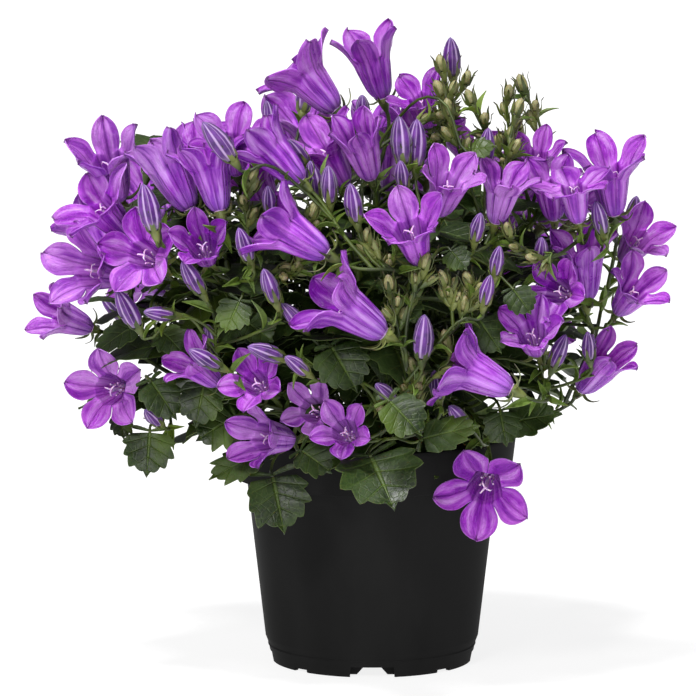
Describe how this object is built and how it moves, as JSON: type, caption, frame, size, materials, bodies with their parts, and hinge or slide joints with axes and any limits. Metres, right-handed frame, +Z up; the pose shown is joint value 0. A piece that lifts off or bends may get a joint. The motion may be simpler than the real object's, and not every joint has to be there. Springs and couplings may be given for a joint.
{
  "type": "potted bellflower",
  "caption": "Bushy bellflower with violet bell blooms, ribbed buds and toothed leaves, growing in a black tapered nursery pot of peat with a banded rim and a notched foot.",
  "frame": {"origin": "under the middle of the plant's spread, on the surface that the pot stands on", "axes": "+Z up, -Y towards the viewer of the picture, +X to that viewer's right; the pot's axis is parallel to Z at x 8.9 mm, y 7.8 mm, because the bush spreads further to its left and front"},
  "size_m": [0.2673, 0.236, 0.2659],
  "materials": {
    "pot_plastic": "matte black moulded plastic with a soft sheen",
    "peat": "dark crumbly peat compost",
    "greenery": "living green stems, cups, buds and leaves with a slight sheen",
    "petal": "soft violet petals with a faint velvet sheen"
  },
  "bodies": {
    "root": {"pot": "pot_plastic", "soil": "peat", "stem_1": "greenery", "stem_2": "greenery", "stem_3": "greenery", "stem_4": "greenery", "stem_5": "greenery", "stem_6": "greenery", "stem_7": "greenery", "bloom_01": "petal", "bloom_02": "petal", "bloom_03": "petal", "bloom_04": "petal", "bloom_05": "petal", "bloom_06": "petal", "bloom_07": "petal", "bloom_08": "petal", "bloom_09": "petal", "bloom_10": "petal", "bloom_11": "petal", "bloom_12": "petal", "bloom_13": "petal", "bloom_14": "petal", "bloom_15": "petal", "bloom_16": "petal", "bloom_17": "petal", "bloom_18": "petal", "bloom_19": "petal", "bloom_20": "petal", "bloom_21": "petal", "bloom_22": "petal", "bloom_23": "petal", "bloom_24": "petal", "bloom_25": "petal", "bloom_26": "petal", "bloom_27": "petal", "bloom_28": "petal", "bloom_29": "petal", "bloom_30": "petal", "bloom_31": "petal", "bloom_32": "petal", "bloom_33": "petal", "bloom_34": "petal", "bloom_35": "petal", "bloom_36": "petal", "bloom_37": "petal", "bloom_38": "petal", "bloom_39": "petal", "bloom_40": "petal", "bloom_41": "petal", "bloom_42": "petal", "bloom_43": "petal", "bloom_44": "petal", "bloom_45": "petal", "bloom_46": "petal", "bloom_47": "petal", "bloom_48": "petal", "bloom_49": "petal", "bloom_50": "petal", "bloom_51": "petal"}
  },
  "joints": []
}
